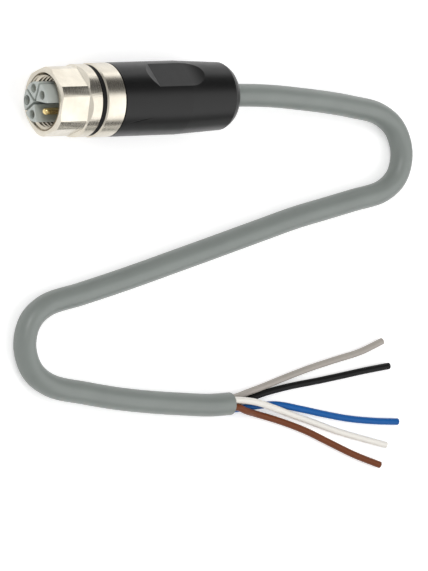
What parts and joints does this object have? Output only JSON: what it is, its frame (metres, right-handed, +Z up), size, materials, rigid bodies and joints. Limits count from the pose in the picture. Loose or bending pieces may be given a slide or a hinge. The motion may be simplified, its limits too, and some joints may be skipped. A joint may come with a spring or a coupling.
{
  "type": "circular connector plug",
  "caption": "Round M12 female sensor connector with hexagonal screw collar, moulded grip, round cable and stripped colour cores.",
  "frame": {"origin": "centre of the bottom of the connector's own box, without cable and cores", "axes": "+X from the mating face along the axis to the cable exit; +Z up"},
  "size_m": [0.1095, 0.0914, 0.016],
  "materials": {
    "grip_body": "fine matt moulded",
    "shield_sleeve": "nickel plated, turned",
    "coupling_nut": "nickel plated, turned and milled",
    "lock_ring": "matt",
    "contact_carrier": "satin moulded",
    "face_seal": "matt",
    "contact_metal": "gold plated",
    "inner_mould": "matt moulded",
    "cable_sheath": "satin extruded",
    "brown_core": "satin extruded",
    "white_core": "satin extruded",
    "blue_core": "satin extruded",
    "black_core": "satin extruded",
    "grey_core": "satin extruded"
  },
  "bodies": {
    "body": {"grip_body": "grip_body", "shield_sleeve": "shield_sleeve", "lock_ring": "lock_ring", "contact_carrier": "contact_carrier", "face_seal": "face_seal", "pin_contact": "contact_metal", "socket_contact_1": "contact_metal", "socket_contact_2": "contact_metal", "socket_contact_3": "contact_metal", "socket_contact_4": "contact_metal", "inner_mould": "inner_mould", "cable_sheath": "cable_sheath", "brown_wire": "brown_core", "white_wire": "white_core", "blue_wire": "blue_core", "black_wire": "black_core", "grey_wire": "grey_core"},
    "nut": {"coupling_nut": "coupling_nut"}
  },
  "joints": [
    {"name": "nut_turn", "type": "hinge", "parent": "body", "child": "nut", "pos_m": [-0.0138, 0, 0.008], "axis": [1, 0, 0], "continuous": true}
  ]
}
